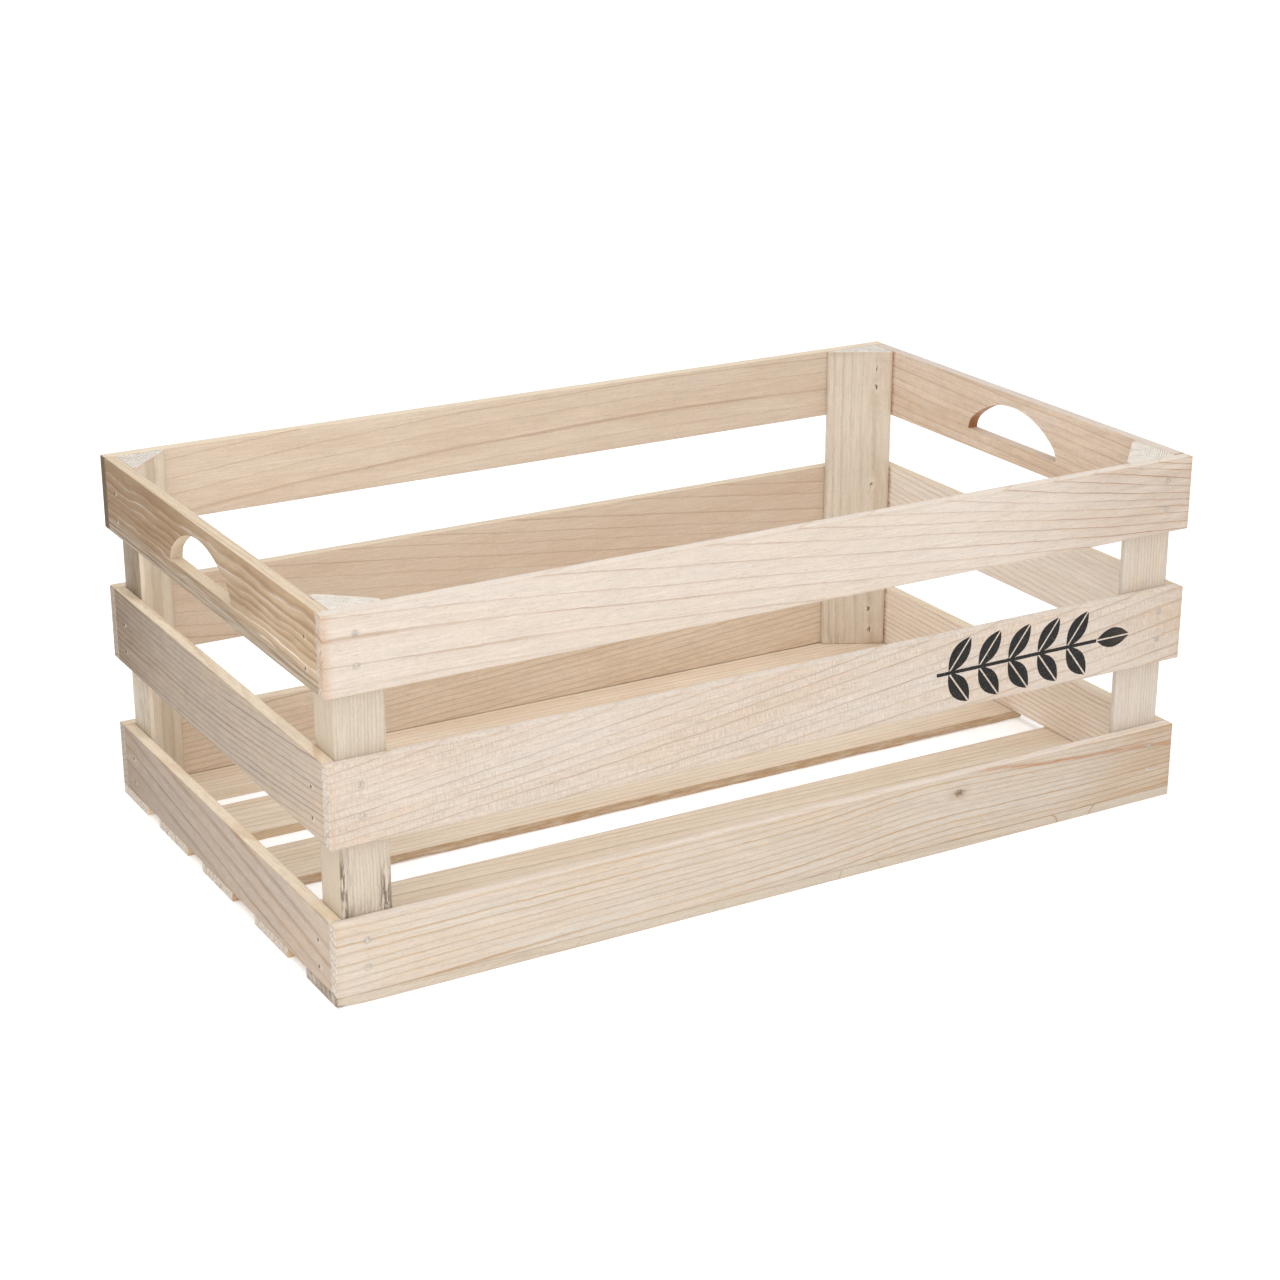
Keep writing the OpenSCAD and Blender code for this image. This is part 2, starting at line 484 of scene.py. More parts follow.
def post_mesh(piece, end, side, seed):
    """A three-cornered post, blunt at its two sharp edges, with its square edge waney."""
    half_v, half_w = piece.half[1], piece.half[2]

    def section(u, ease):
        bark = POST_WANE * max(0.0, 0.5 + wobble(seed, u / 30) + 0.4 * wobble(seed + 1, u / 6))
        others = [POST_ARRIS + POST_ARRIS_SWAY * wobble(seed + 3 + k, u / 9) for k in range(4)]
        v = half_v - INSET - ease
        w = half_w - INSET - ease
        corners = [
            (end * v, side * w),
            (-end * v, side * w),
            (-end * v, side * (w - POST_BLUNT)),
            (end * (v - POST_BLUNT), -side * w),
            (end * v, -side * w),
        ]
        radii = [POST_ARRIS + bark, *others]
        return rounded_section(corners, radii, divisions=(6, 1, 8, 1, 6))

    def end_noise(v, w, at):
        saw = 0.5 + 0.5 * math.sin((v * 0.8 + w) * 1.3 + wobble(seed, v / 9, w / 9))
        deep = 0.5 + 0.5 * wobble(seed + 40 + at, v / 1.9, w / 1.9)
        return POST_SAW_DEPTH * saw * deep + POST_TORN_DEPTH * deep

    return sweep(piece, section, end_noise)


def nail_mesh(mesh, nail, seed):
    """Adds one nail to a bmesh, hammered a little skew, with its head sunk in the wood."""
    radius = nail.radius
    shank = radius * 0.47
    tip = nail.length - nail.sunk - 0.2
    # Its radius at each depth, from the flat of the head to the tip
    profile = [
        (radius * 0.45, 0.0),
        (radius * 0.8, 0.04),
        (radius * 0.96, 0.16),
        (radius, 0.36),
        (radius * 0.9, HEAD_THICK),
        (shank * 1.1, HEAD_THICK + 0.15),
        (shank, HEAD_THICK + 0.6),
        (shank, tip - 4 * shank),
        (shank * 0.12, tip),
    ]
    lean = Matrix.Rotation(HEAD_LEAN * wobble(seed, 0.5), 3, "X")
    lean = lean @ Matrix.Rotation(HEAD_LEAN * wobble(seed, 1.5), 3, "Y")

    def hammered(x, y, out, depth):
        dent = HEAD_DENTS * wobble(seed + 3, 2 * x, 2 * y) if out > 1.2 * shank else 0.0
        point = Vector((x, y, 0)) * (out * (1 + dent)) + Vector((0, 0, depth))
        return lean @ point if depth <= HEAD_THICK else point

    lathe(mesh, nail.head + nail.direction * nail.sunk, nail.direction, profile, hammered)


# ---- Material nodes ----


def colour(text):
    """Linear RGBA of a #rrggbb colour."""
    channels = [int(text[i : i + 2], 16) / 255 for i in (1, 3, 5)]
    linear = [c / 12.92 if c <= 0.04045 else ((c + 0.055) / 1.055) ** 2.4 for c in channels]
    return (*linear, 1.0)


class Value:
    """What comes out of a node. Calculating with it adds the nodes that do so."""

    def __init__(self, graph, socket):
        self.graph = graph
        self.socket = socket

    def __add__(self, other):
        return self.graph.math("ADD", self, other)

    def __sub__(self, other):
        return self.graph.math("SUBTRACT", self, other)

    def __rsub__(self, other):
        return self.graph.math("SUBTRACT", other, self)

    def __mul__(self, other):
        return self.graph.math("MULTIPLY", self, other)

    def __truediv__(self, other):
        if isinstance(other, Value):
            return self.graph.math("DIVIDE", self, other)
        return self * (1 / other)

    def __neg__(self):
        return self * -1.0

    def __abs__(self):
        return self.graph.math("ABSOLUTE", self)

    def floor(self):
        return self.graph.math("FLOOR", self)

    def ramp(self, low, high, to=(0.0, 1.0)):
        """A smooth step, from to[0] where this is low to to[1] where it is high."""
        inputs = enumerate((self, low, high, *to))
        return self.graph.value("ShaderNodeMapRange", inputs, interpolation_type="SMOOTHSTEP")

    def fall(self, low, high):
        """A smooth step, from 1 where this is low to 0 where it is high."""
        return self.ramp(low, high, to=(1.0, 0.0))


class Graph:
    """The nodes of a material. Inputs are values, numbers, vectors or #rrggbb colours."""

    def __init__(self, name):
        self.material = bpy.data.materials.new(name)
        self.material.use_nodes = True
        self.tree = self.material.node_tree
        self.tree.nodes.clear()

    def node(self, kind, inputs, **settings):
        made = self.tree.nodes.new(kind)
        for name, value in settings.items():
            setattr(made, name, value)
        for key, value in inputs:
            if isinstance(value, Value):
                self.tree.links.new(value.socket, made.inputs[key])
            else:
                made.inputs[key].default_value = colour(value) if isinstance(value, str) else value
        return made

    def value(self, kind, inputs=(), output=0, **settings):
        """What comes out of a new node with these inputs, as (number or name, input) pairs."""
        return Value(self, self.node(kind, inputs, **settings).outputs[output])

    def math(self, operation, *values):
        return self.value("ShaderNodeMath", enumerate(values), operation=operation)

    def either(self, a, b):
        return self.math("MAXIMUM", a, b)

    def length(self, a, b):
        return self.math("SQRT", a * a + b * b)

    def vector(self, *components):
        return self.value("ShaderNodeCombineXYZ", enumerate(components))

    def parts(self, vector):
        split = self.node("ShaderNodeSeparateXYZ", [(0, vector)])
        return [Value(self, component) for component in split.outputs]

    def stretch(self, vector, scale, offset=(0, 0, 0)):
        """vector * scale + offset, component by component."""
        inputs = enumerate((vector, scale, offset))
        return self.value("ShaderNodeVectorMath", inputs, operation="MULTIPLY_ADD")

    def noise(self, place, detail=2.0, rough=0.5):
        inputs = {"Vector": place, "Scale": 1.0, "Detail": detail, "Roughness": rough}
        return self.value("ShaderNodeTexNoise", inputs.items())

    def random(self, number):
        return self.value("ShaderNodeTexWhiteNoise", [("W", number)], noise_dimensions="1D")

    def mix(self, share, a, b, blend="MIX"):
        inputs = ((0, share), (6, a), (7, b))
        return self.value("ShaderNodeMix", inputs, 2, data_type="RGBA", blend_type=blend)

    def surface(self, tone, rough, height, relief, strength, **uniform):
        """Gives the material its shader, and the settings that are the same all over it."""
        relief_inputs = {"Height": height, "Distance": relief, "Strength": strength}
        normal = self.value("ShaderNodeBump", relief_inputs.items())
        inputs = {"Base Color": tone, "Roughness": rough, "Normal": normal}
        shader = self.value("ShaderNodeBsdfPrincipled", inputs.items())
        for name, value in uniform.items():
            shader.socket.node.inputs[name.replace("_", " ")].default_value = value
        self.node("ShaderNodeOutputMaterial", [("Surface", shader)])
        return self.material


@dataclass
class Look:
    """How a board was sawn out of its tree and how its wood looks. Lengths are in mm."""

    seed: int
    # Distance between growth rings in the middle of the face, and how much of it is gained
    # towards the +u end
    pitch: float = 7.0
    fan: float = 0.0
    # Rise of the ring lines for each mm along the board, what 100 mm more adds to it, and how much
    # they straighten again towards the ends
    slope: float = 0.0
    bow: float = 0.0
    sway: float = 0.0
    # A swelling of the ring lines: where along the board, how high and how long
    hump: tuple = (0.0, 0.0, 60.0)
    # Where the tree's heart lies from the board's middle, across its face and through it
    heart: tuple = (-90.0, 30.0)
    # Height and length of the slow waves in the ring lines
    wave: float = 0.9
    wave_length: float = 110.0
    # Width of the dark line that ends a ring, the part of a ring that darkens softly before it,
    # how much of the darkening is soft, and the whole of it
    line: float = 0.9
    late_share: float = 0.45
    soft: float = 0.25
    contrast: float = 0.65
    early: str = "#e3d5c2"
    late: str = "#a98a68"
    # The same two on the edges of the board, which were sawn later than its faces
    edge_early: str = "#dfcfb8"
    edge_late: str = "#c3a27b"
    # Patches of this tint, and how strongly they show
    tint: str = "#c9a884"
    tint_share: float = 0.2
    # Painted shade and light: the share by which the colour is darkened towards the -u end and
    # lightened towards the other, standing in for light that falls off along the face
    fade: float = 0.0
    # Warmer wood beside the sawn ends
    end_tint: float = 0.16
    # Colours of the sawn ends
    end_early: str = "#dfd4c6"
    end_late: str = "#ab9079"
    # Cloudiness of the wood, and strokes of the planer across the grain
    mottle: float = 1.0
    chatter: float = 0.12
    # Corners of the section, counted from the lowest in v and w, that another board's face meets
    tight: tuple = ()
    # Bark missing from the lower front arris, and wear of that arris at the -u end
    wane: float = 0.0
    knocked: float = 0.0


RESIN = "#93694a"
SAWN_TINT = "#b98a58"
ARRIS_TINT = "#a98257"

# How far each pattern lightens and darkens the wood, and how deep it lies
FIBRE_TONE, FIBRE_DEPTH = 0.42, 0.13
HAIR_TONE, HAIR_DEPTH = 0.34, 0.1
FLECK_TONE, FLECK_DEPTH = 0.24, 0.07
CLOUD_TONE, CLOUD_DEPTH = 0.13, 0.1
PLANER_TONE, PLANER_DEPTH = 0.5, 0.5
LATE_DEPTH = 0.06
DASH_TONE, DASH_DEPTH = 0.3, 0.08


class Wood:
    """One piece's wood, in steps that each add to its tone, roughness and height."""

    def __init__(self, piece, look):
        g = Graph("wood_" + piece.node)
        self.g = g
        self.piece = piece
        self.look = look
        self.seed = look.seed * WOOD_SEED
        position = g.value("ShaderNodeTexCoord", output="Object")
        components = g.parts(g.stretch(position, (1 / MM,) * 3, tuple(-piece.centre)))
        self.u, self.v, self.w = (components[axis] for axis in piece.axes)
        if piece.sign < 0:
            self.u = -self.u
        self.uvw = g.vector(self.u, self.v, self.w)
        normal = g.parts(g.value("ShaderNodeNewGeometry", output="True Normal"))
        self.normal = [normal[axis] for axis in piece.axes]
        # 1 on the sawn ends, and 1 on everything but the two broad faces
        self.end_grain = abs(self.normal[0]).ramp(0.55, 0.8)
        self.edge_grain = abs(self.normal[2]).fall(0.4, 0.7)

    def noise(self, along, across, detail=2.0, rough=0.5, shift=(1, 1, 1)):
        """Noise with one frequency along the grain and another across it. The shift tells patterns
        of one board apart."""
        offset = tuple(self.seed * part for part in shift)
        place = self.g.stretch(self.uvw, (along, across, across), offset)
        return self.g.noise(place, detail, rough)

    def drift(self, amount, along, across, **settings):
        """Noise that goes both ways from nought, half the amount at most."""
        return (self.noise(along, across, **settings) - 0.5) * amount

    def paint(self, share, tint):
        """Mixes a share of another tone into the wood."""
        self.tone = self.g.mix(share, self.tone, tint)

    def course(self):
        """Height across the face of the ring line that passes the middle of the board."""
        g, look = self.g, self.look
        square = self.u * self.u
        line = self.u * look.slope + square * (look.bow / 1e4) + square * self.u * (look.sway / 1e6)
        place, rise, reach = look.hump
        away = (self.u - place) / reach
        return line + g.math("EXPONENT", -(away * away)) * rise

    def rings(self):
        """Distance from the heart, bent by slow waves, and what it says of a growth ring: its
        number and how far through it the wood is."""
        g, look = self.g, self.look
        long, short = 1 / look.wave_length, 2.2 / look.wave_length
        wave = self.noise(long, short, shift=(1, 0, 0)) - 0.5
        ripple = self.noise(long * 3.1, short * 2, shift=(0, 1, 0)) - 0.5
        fine = self.noise(0.12, 0.3, shift=(0, 1, 1)) - 0.5
        waves = wave * (look.wave * 4) + ripple * (look.wave * 0.5) + fine
        across = self.v - self.course() - waves - look.heart[0]
        through = self.w - look.heart[1] - wave * (look.wave * 0.8)
        radius = g.length(across, through) - math.hypot(*look.heart)
        gain = look.pitch * look.fan / self.piece.half[0]
        spacing = self.u * gain + look.pitch
        uneven = g.noise(g.stretch(g.vector(radius, 0.0, 0.0), (0.07,) * 3, (self.seed,) * 3))
        phase = radius / spacing + (uneven * 1.6 + self.seed)
        ring = phase.floor()
        return ring, phase - ring

    def late_wood(self, ring, inside):
        """How dark a ring is here: a soft rise, then a thin line where the year ends."""
        g, look = self.g, self.look
        line = min(0.45, look.line / look.pitch)
        soft = inside.ramp(1 - look.late_share, 0.97) * look.soft
        sharp = inside.ramp(1 - 1.6 * line, 1 - 0.5 * line) * (1 - look.soft)
        fall = inside.fall(1 - 0.35 * line, 1.0)
        strength = g.random(ring).ramp(0.0, 1.0, to=(0.6, 1.05))
        fading = self.noise(0.013, 0.09, shift=(2, 1, 0)).ramp(0.3, 0.65, to=(0.6, 1.1))
        return (soft + sharp) * fall * strength * fading

    def planer(self):
        """Strokes of the planer across the grain, stronger on some stretches."""
        g = self.g
        leaning = g.vector(self.u + self.v * 0.12, self.v, self.w)
        leaning = g.stretch(leaning, (1.15, 0.16, 0.4), (self.seed,) * 3)
        stretches = self.noise(0.009, 0.02, detail=1.0, shift=(1, 0, -1))
        planed = stretches.ramp(0.3, 0.55, to=(0.35, 1.0))
        return (g.noise(leaning, rough=0.55) - 0.5) * planed * self.look.chatter

    def ring_tone(self, ring, dark):
        """The tone of faces and edges, by how dark the late wood is and with patches of tint."""
        g, look = self.g, self.look
        tone = g.mix(dark, look.early, look.late)
        edge_tone = g.mix(dark * 0.6, look.edge_early, look.edge_late)
        tone = g.mix(self.edge_grain, tone, edge_tone)
        ring_tint = g.random(ring + 0.5) * look.tint_share * 0.6
        patch = self.noise(0.01, 0.045, detail=3.0, rough=0.6)
        stained = patch.ramp(0.35, 0.7) * look.tint_share
        return g.mix((ring_tint + stained) * (1 - self.edge_grain), tone, look.tint)

    def build(self, extras):
        """The finished material. Each extra takes this wood and adds what only some boards have."""
        g, look = self.g, self.look
        ring, self.inside = self.rings()
        self.late = self.late_wood(ring, self.inside)
        # Long fibres, hair lines, flecks, slow clouds and short dashes of resin
        self.fibre = self.noise(0.03, 0.9, detail=4.0, rough=0.65, shift=(0, 0, 1))
        self.hair = self.noise(0.09, 2.6, detail=3.0, rough=0.7, shift=(1, 0, 1))
        self.fleck = self.noise(0.5, 1.6, rough=0.6, shift=(0, 1, 0))
        cloud = self.noise(0.1, 0.2, detail=4.0, rough=0.7, shift=(2, 2, 1))
        dashes = self.noise(0.16, 2.6, detail=1.0, shift=(1, 2, 0)).ramp(0.7, 0.77)
        planer = self.planer()
        worked = self.fibre.ramp(0.25, 0.75, to=(0.75, 1.15)) + planer * 3.0
        dark = self.late * worked * look.contrast
        light = (
            (self.fibre - 0.5) * FIBRE_TONE
            + (self.hair - 0.5) * HAIR_TONE
            + (self.fleck - 0.5) * FLECK_TONE
            + (cloud - 0.5) * (CLOUD_TONE * look.mottle)
            + planer * PLANER_TONE
            # painted shade and light along the board
            + self.u * (1 - self.edge_grain) * (look.fade / self.piece.half[0])
            + 1.0
        )
        tone = g.mix(1.0, self.ring_tone(ring, dark), g.vector(light, light, light), "MULTIPLY")
        self.tone = g.mix(dashes * DASH_TONE, tone, RESIN)
        self.height = (
            self.fibre * FIBRE_DEPTH
            + self.hair * HAIR_DEPTH
            + self.fleck * FLECK_DEPTH
            + cloud * CLOUD_DEPTH
            + dark * LATE_DEPTH
            + planer * PLANER_DEPTH
            - dashes * DASH_DEPTH
        )
        self.rough = self.fibre * 0.16 + 0.56
        self.add_arrises()
        self.add_ends()
        for add in extras:
            add(self)
        return g.surface(self.tone, self.rough, self.height, MM, 1.0, Specular_IOR_Level=0.28)

    def add_arrises(self):
        """Dirt caught along the long edges."""
        to_face = self.piece.half[2] - abs(self.w)
        to_edge = self.piece.half[1] - abs(self.v)
        away = to_face + to_edge - (self.fibre - 0.5) * 3.0
        self.paint(away.fall(0.3, 2.2) * 0.1, ARRIS_TINT)

    def add_ends(self):
        """Tinted wood beside the ends, and rough sawn end grain on them."""
        g, look = self.g, self.look
        from_end = self.piece.half[0] - abs(self.u)
        ragged = from_end - (self.fibre - 0.5) * 9.0
        self.paint(ragged.fall(0.0, 5.0) * look.end_tint, SAWN_TINT)
        pits = self.noise(0.4, 0.7, detail=4.0, rough=0.75, shift=(1, 1, 0))
        slanted = g.vector(0.0, self.v + self.w, self.v - self.w)
        slanted = g.stretch(slanted, (0, 0.75, 0.07), (self.seed,) * 3)
        sawn = g.noise(slanted, detail=3.0, rough=0.65)
        dark = g.either(pits.ramp(0.52, 0.7, to=(0.0, 0.8)), sawn.ramp(0.5, 0.68, to=(0.0, 0.7)))
        dark = g.either(self.late * 0.8, dark)
        self.paint(self.end_grain, g.mix(dark, look.end_early, look.end_late))
        self.height += self.end_grain * (pits * 0.7 + sawn * 0.8)


def extra(draw):
    """Turns draw(wood, ...) into a function of the rest, whose result then takes the wood."""

    def prepared(*values, **named):
        return lambda wood: draw(wood, *values, **named)

    return prepared


@extra
def nail_marks(wood, places):
    """Grey smudges and lifted fibres round the nails at these (u, v) places of a face."""
    scuff = wood.noise(0.5, 0.9, detail=3.0, rough=0.7, shift=(3, 1, 4))
    for nail_u, nail_v in places:
        away = wood.g.length(wood.u - nail_u, wood.v - nail_v) + (scuff - 0.5) * 6.0
        mark = away.ramp(1.1, 3.2, to=(0.45, 0.0))
        wood.paint(mark, "#a69b8f")
        wood.height += mark * scuff * 0.5


@extra
def pin_holes(wood, places):
    """Small holes with painted shade in them, and lifted pale fibres beside them, at these (u, v)
    places of a face.
    """
    g = wood.g
    scuff = wood.drift(4.0, 0.5, 0.9, detail=3.0, rough=0.7, shift=(3, 1, 4))
    for nail_u, nail_v in places:
        along = wood.u - nail_u
        across = wood.v - nail_v
        beside = g.length((along - 1.6) * 0.7, across) + scuff
        wood.paint(beside.ramp(0.6, 2.2, to=(0.4, 0.0)), "#dcd1c3")
        # Painted shade: the dark inside each hole
        away = g.length(along, across) + scuff * 0.3
        wood.paint(away.ramp(0.7, 1.3, to=(0.9, 0.0)), "#43362a")


@extra
def tip_marks(wood, *places):
    """Splintered dots where the tips of nails came through a post, at these (u, v) places, each
    with painted shade in its dented hole.
    """
    splinters = wood.drift(7.0, 0.25, 0.9, detail=3.0, rough=0.7, shift=(4, 1, 3))
    for tip_u, tip_v in places:
        away = wood.g.length((wood.u - tip_u) * 0.55, wood.v - tip_v) + splinters
        wood.paint(away.ramp(0.5, 3.4, to=(0.5, 0.0)), "#efe4d4")
        # Painted shade: the dark of each hole, which is only a dent in the bump
        hole = away.fall(0.2, 1.1)
        wood.paint(hole * 0.85, "#5b4532")
        wood.height -= hole * 0.4


@extra
def knot(wood, place_u, place_v):
    """A pin knot with its dark heart, and the reddish streaks that run on beyond it."""
    along = (wood.u - place_u) * 0.6
    across = wood.v - place_v
    away = wood.g.length(along, across) + (wood.fleck - 0.5) * 6.0
    wood.paint(away.ramp(1.0, 8.0, to=(0.45, 0.0)), "#ad977c")
    wood.paint(away.ramp(0.8, 3.0, to=(0.8, 0.0)), "#6d5841")
    below = wood.piece.half[1] - (wood.v + (wood.u - place_u) * 0.075)
    course = abs(below + wood.drift(9.0, 0.012, 0.08, shift=(5, 2, 1)))
    streak = course.fall(0.0, 2.4) * wood.hair.ramp(0.35, 0.6, to=(0.2, 1.0))
    beyond = wood.u.ramp(place_u, place_u + 40)
    wood.paint(streak * beyond * 0.8, "#ab6f45")


@extra
def stain(wood, start_u, full_u, tint, strength, in_rings=0.5, inner_only=False):
    """A patchy stain that grows along the board and is darker in the late wood. On the right end's
    slats it can be kept to the inner face, which is the one where w is negative; there it draws the
    seam by the back post, which is partly painted shade."""
    grown = ((wood.u - start_u) / (full_u - start_u)).ramp(0.0, 1.0)
    patches = wood.noise(0.02, 0.11, detail=3.0, rough=0.6, shift=(3, 2, 5))
    patchy = patches.ramp(0.3, 0.62, to=(0.3, 0.8))
    off_edges = wood.g.either(1 - wood.edge_grain, wood.end_grain)
    share = (patchy + wood.late * in_rings) * grown * off_edges * strength
    if inner_only:
        share = share * wood.w.fall(-1.0, 1.0)
    wood.paint(share, tint)


@extra
def browned(wood, tint, strength):
    """Wood that darkens through each year, up to the pale line that ends it."""
    through = wood.inside.ramp(0.1, 0.78) * wood.inside.fall(0.9, 1.0)
    patches = wood.noise(0.013, 0.09, detail=3.0, rough=0.6, shift=(1, 3, 3))
    patchy = patches.ramp(0.35, 0.62, to=(0.25, 1.0))
    wood.paint(through * patchy * (1 - wood.edge_grain) * strength, tint)


@extra
def weathered(wood, top_v, depth, strength):
    """Grey weathered wood with fine checks on the lower part of a face."""
    height = wood.v + wood.drift(16.0, 0.02, 0.1, shift=(2, 3, 1))
    share = height.fall(top_v - depth, top_v) * (1 - wood.edge_grain)
    checks = wood.noise(0.012, 0.62, detail=3.0, rough=0.6, shift=(1, 4, 2)).ramp(0.42, 0.62)
    wood.paint(share * strength, wood.g.mix(checks, "#b5a896", "#7d6a55"))


@extra
def dark_streaks(wood, face, low_u, high_u, edge, reach, strength, ground=0.0, tint="#4b3718"):
    """Old bark and mould in streaks up a post, between two heights, strongest at one edge of its
    "front" or "side" face. The ground between the streaks is darkened by its own share."""
    across, out = (wood.v, wood.normal[2]) if face == "front" else (wood.w, wood.normal[1])
    facing = (-out).ramp(0.5, 0.8)
    fibres = wood.noise(0.06, 0.75, detail=4.0, rough=0.68, shift=(2, 5, 1))
    streak = fibres.ramp(0.46, 0.58, to=(ground, 1.0))
    near = abs(across - edge).fall(0.0, reach)
    above = wood.u.ramp(low_u, low_u + 10)
    below = wood.u.fall(high_u - 30, high_u)
    mask = streak * near * facing * above * below * strength
    wood.paint(mask, tint)
    wood.height -= mask * 0.35


@extra
def bark_edge(wood, tint, strength):
    """The dark, fibrous wood just under the bark, on the front edge of a floor board."""
    front = (-wood.normal[1]).ramp(0.35, 0.75)
    fibres = wood.noise(0.05, 0.5, detail=4.0, rough=0.7, shift=(4, 4, 1))
    mask = front * fibres.ramp(0.35, 0.62, to=(0.45, 1.0))
    wood.paint(mask * strength, tint)
    wood.height += mask * 0.3


@extra
def edge_lines(wood, spacing, width, tint):
    """Thin dark lines across the front edge of a board, where rings leave it steeply."""
    bend = wood.drift(3.5, 0.011, 0.02, detail=1.0, shift=(3, 1, 2))
    phase = (wood.u - wood.w * 0.9) / spacing + bend
    number = phase.floor()
    inside = phase - number
    share = width / spacing
    line = inside.ramp(0.0, share) * inside.fall(share, 5 * share)
    front = (-wood.normal[1]).ramp(0.5, 0.8)
    strong = wood.g.random(number).ramp(0.0, 1.0, to=(0.2, 0.75))
    wood.paint(line * front * strong, tint)


@extra
def cut_wood(wood, arch_tint, sill_tint):
    """Fresh wood of other tones inside a hand hole, on its arch and on its flat sill."""
    below_top = wood.piece.half[1] - wood.v
    torn = wood.noise(0.3, 0.5, detail=4.0, rough=0.7, shift=(3, 3, 1))
    mask = wood.edge_grain * below_top.ramp(3.0, 4.0) * torn.ramp(0.3, 0.7, to=(0.55, 1.0))
    on_sill = wood.normal[1].ramp(0.8, 0.95)
    wood.paint(mask, wood.g.mix(on_sill, arch_tint, sill_tint))
    wood.height += mask * 0.4


# The leaf sprig stencilled on the front: its middle along the board, its length, and its leaves
SPRIG_U = 181.0
SPRIG_LENGTH = 152.0
LEAF_PITCH = 23.0
LEAF_LENGTH = 27.0
LEAF_HALF_WIDTH = 6.6
LEAF_ANGLE = math.radians(53)
STEM_HALF_WIDTH = 1.2
VEIN_HALF_WIDTH = 0.5
PRINT_BLUR = 0.12


def leaf_mask(along, across):
    """1 inside a pointed leaf that grows from the origin along the first axis, but for its vein."""
    middle = LEAF_LENGTH / 2
    share = (along - middle) / middle
    from_vein = abs(across)
    inside = ((1 - share * share) * LEAF_HALF_WIDTH - from_vein).ramp(-PRINT_BLUR, PRINT_BLUR)
    return inside * from_vein.ramp(VEIN_HALF_WIDTH - PRINT_BLUR, VEIN_HALF_WIDTH + PRINT_BLUR)


@extra
def sprig_print(wood):
    """A generic sprig in black stencil paint, thin and speckled where the wood shows through."""
    g = wood.g
    edge = wood.drift(0.5, 0.9, 1.5)
    along = wood.u - (SPRIG_U - SPRIG_LENGTH / 2) + edge
    across = wood.v + edge
    stem_end = SPRIG_LENGTH - LEAF_LENGTH
    from_stem = abs(across)
    stem = from_stem.fall(STEM_HALF_WIDTH - PRINT_BLUR, STEM_HALF_WIDTH + PRINT_BLUR)
    stem = stem * along.ramp(0.0, 2 * PRINT_BLUR)
    paint = stem * along.fall(stem_end, stem_end + 2 * PRINT_BLUR)
    sine, cosine = math.sin(LEAF_ANGLE), math.cos(LEAF_ANGLE)
    for pair in range(int(stem_end / LEAF_PITCH)):
        start = along - LEAF_PITCH * (pair + 0.4)
        out = start * cosine + from_stem * sine
        beside = from_stem * cosine - start * sine
        paint = g.either(paint, leaf_mask(out, beside))
    paint = g.either(paint, leaf_mask(along - stem_end, across))
    worn = wood.noise(1.1, 1.9, detail=3.0, rough=0.7, shift=(4, 1, 2)).ramp(0.64, 0.72)
    outside = wood.w.fall(1 - wood.piece.half[2], 1.5 - wood.piece.half[2])
    paint = paint * (1 - worn * 0.7) * outside
    black = g.mix(wood.fibre.ramp(0.3, 0.7), "#0c0c0c", "#1b1a19")
    wood.paint(paint, black)
    wood.rough = wood.rough * (1 - paint) + paint * 0.55
    wood.height += paint * 0.04


def nail_steel():
    """Dull galvanised wire, stained where the hammer met it."""
    g = Graph("nail_steel")
    position = g.stretch(g.value("ShaderNodeTexCoord", output="Object"), (1 / MM,) * 3)
    coarse = g.noise(g.stretch(position, (0.8,) * 3), detail=4.0, rough=0.6)
    fine = g.noise(g.stretch(position, (4.0,) * 3))
    tone = g.mix(coarse.ramp(0.35, 0.65), "#cbc3b9", "#a89f95")
    tone = g.mix(fine.ramp(0.5, 0.75) * 0.4, tone, "#857868")
    rough = coarse.ramp(0.3, 0.7, to=(0.45, 0.65))
    return g.surface(tone, rough, fine, 0.1 * MM, 0.6, Metallic=0.15)


# ---- What each board looks like ----

